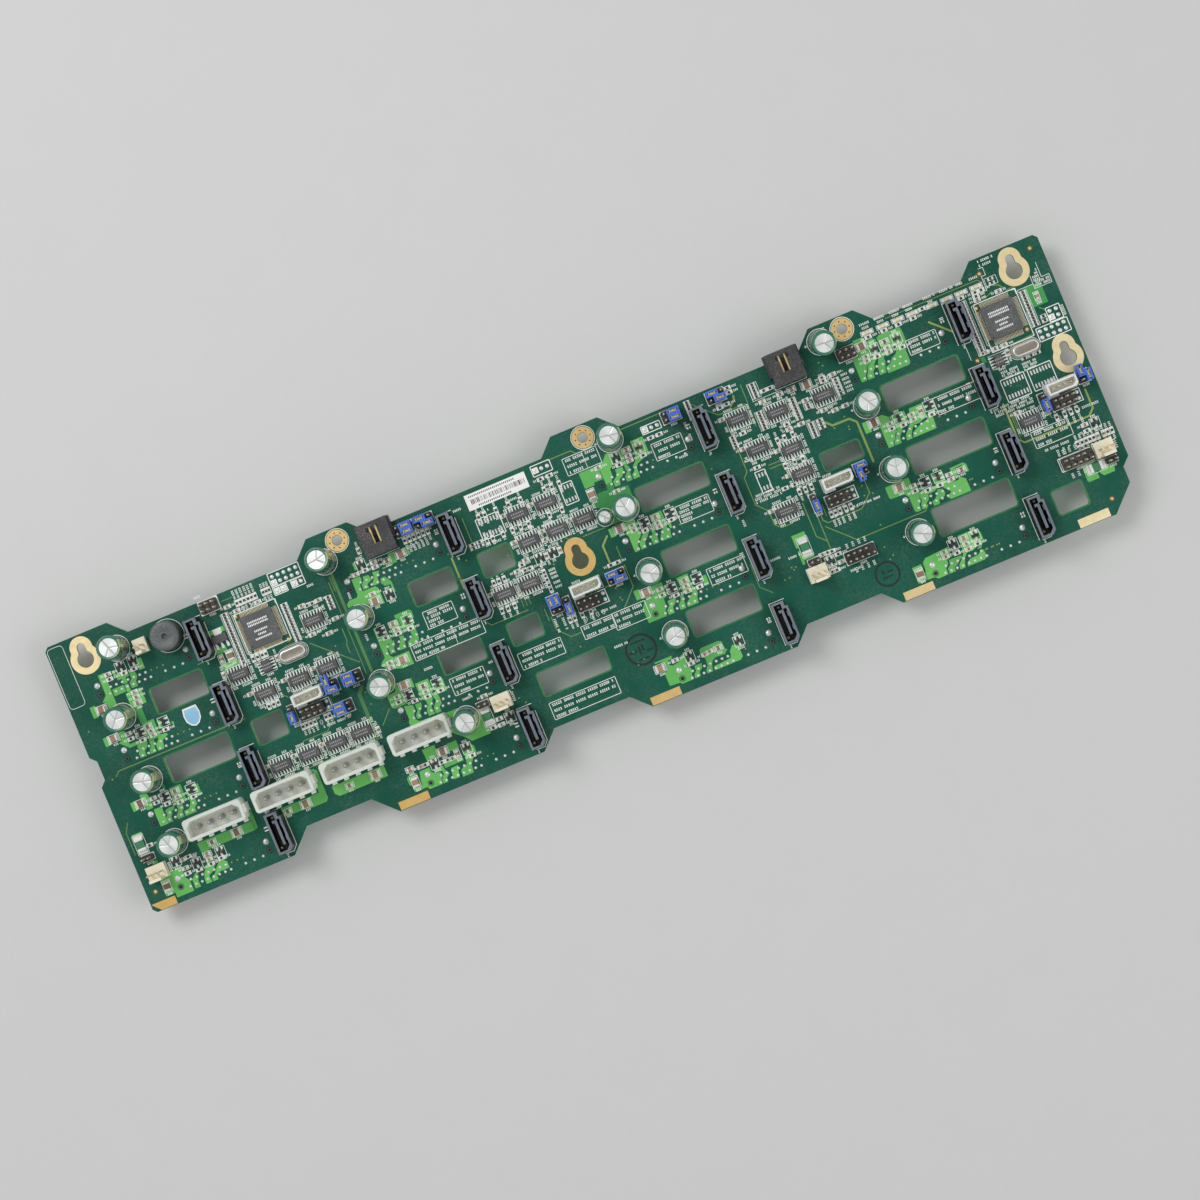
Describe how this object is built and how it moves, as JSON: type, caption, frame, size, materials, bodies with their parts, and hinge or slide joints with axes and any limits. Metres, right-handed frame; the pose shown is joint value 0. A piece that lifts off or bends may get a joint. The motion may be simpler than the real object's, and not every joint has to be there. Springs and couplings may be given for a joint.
{
  "type": "drive backplane board",
  "caption": "Long green backplane board with airflow windows, keyed data and power sockets, upright capacitors, jumper headers and drive sockets on its underside.",
  "frame": {"origin": "middle of the board outline, at the level of the drive sockets' mating faces", "axes": "+Z out of the component side, +X along the long edge with the jumper row to the right of the power sockets, +Y towards the edge with five tabs"},
  "size_m": [0.4302, 0.1154, 0.0301],
  "materials": {
    "solder_mask": "satin",
    "black_housing": "matte",
    "charcoal_housing": "matte",
    "capacitor_sleeve": "gloss",
    "white_housing": "satin",
    "cream_housing": "satin",
    "tinned_pins": "satin",
    "gold_pins": "polished",
    "blue_cap": "satin",
    "package": "matte",
    "crystal_can": "satin",
    "fuse_body": "matte",
    "buzzer_case": "matte"
  },
  "bodies": {
    "root": {"bus_sockets": "white_housing", "buzzer": "buzzer_case", "capacitor_01": "capacitor_sleeve", "capacitor_02": "capacitor_sleeve", "capacitor_03": "capacitor_sleeve", "capacitor_04": "capacitor_sleeve", "capacitor_05": "capacitor_sleeve", "capacitor_06": "capacitor_sleeve", "capacitor_07": "capacitor_sleeve", "capacitor_08": "capacitor_sleeve", "capacitor_09": "capacitor_sleeve", "capacitor_10": "capacitor_sleeve", "capacitor_11": "capacitor_sleeve", "capacitor_12": "capacitor_sleeve", "capacitor_13": "capacitor_sleeve", "capacitor_14": "capacitor_sleeve", "capacitor_15": "capacitor_sleeve", "capacitor_16": "capacitor_sleeve", "circuit_board": "solder_mask", "controller_1": "package", "controller_2": "package", "crystals": "crystal_can", "data_socket_01": "black_housing", "data_socket_02": "black_housing", "data_socket_03": "black_housing", "data_socket_04": "black_housing", "data_socket_05": "black_housing", "data_socket_06": "black_housing", "data_socket_07": "black_housing", "data_socket_08": "black_housing", "data_socket_09": "black_housing", "data_socket_10": "black_housing", "data_socket_11": "black_housing", "data_socket_12": "black_housing", "data_socket_13": "black_housing", "data_socket_14": "black_housing", "data_socket_15": "black_housing", "data_socket_16": "black_housing", "drive_sockets_column_1": "black_housing", "drive_sockets_column_2": "black_housing", "drive_sockets_column_3": "black_housing", "drive_sockets_column_4": "black_housing", "fan_sockets": "cream_housing", "fuses": "fuse_body", "header_pins": "gold_pins", "jumper_caps": "blue_cap", "logic_chips": "package", "memory_chips": "package", "pin_headers": "black_housing", "power_pins": "tinned_pins", "power_socket_1": "white_housing", "power_socket_2": "white_housing", "power_socket_3": "white_housing", "power_socket_4": "white_housing", "regulator": "package", "reset_socket": "cream_housing", "side_socket_1": "charcoal_housing", "side_socket_2": "charcoal_housing", "side_socket_pins": "gold_pins", "small_capacitor": "capacitor_sleeve"}
  },
  "joints": []
}
